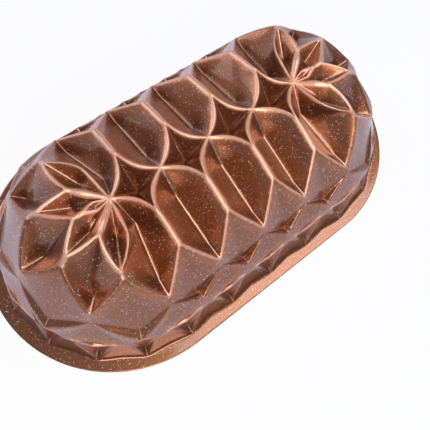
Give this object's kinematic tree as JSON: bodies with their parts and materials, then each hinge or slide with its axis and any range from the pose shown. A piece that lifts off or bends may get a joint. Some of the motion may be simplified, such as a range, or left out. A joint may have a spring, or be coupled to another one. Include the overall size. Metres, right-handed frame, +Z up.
{
  "type": "oval cake pan",
  "caption": "Oval dome-shaped cake pan, lying mouth down on its flange, with pointed almond pits along its back, a petal rosette at each end and faceted sides.",
  "frame": {"origin": "centre of the mouth's oval, in the plane of the flange's underside, with the pan mouth down", "axes": "+X along the oval's length, +Y across it, +Z up from the mouth towards the rosettes"},
  "size_m": [0.3, 0.17, 0.0835],
  "materials": {
    "granite_coating": "glossy brown non-stick coating with fine pale speckles and a copper sheen on the ridges, over cast aluminium"
  },
  "bodies": {
    "root": {"pan_casting": "granite_coating"}
  },
  "joints": []
}
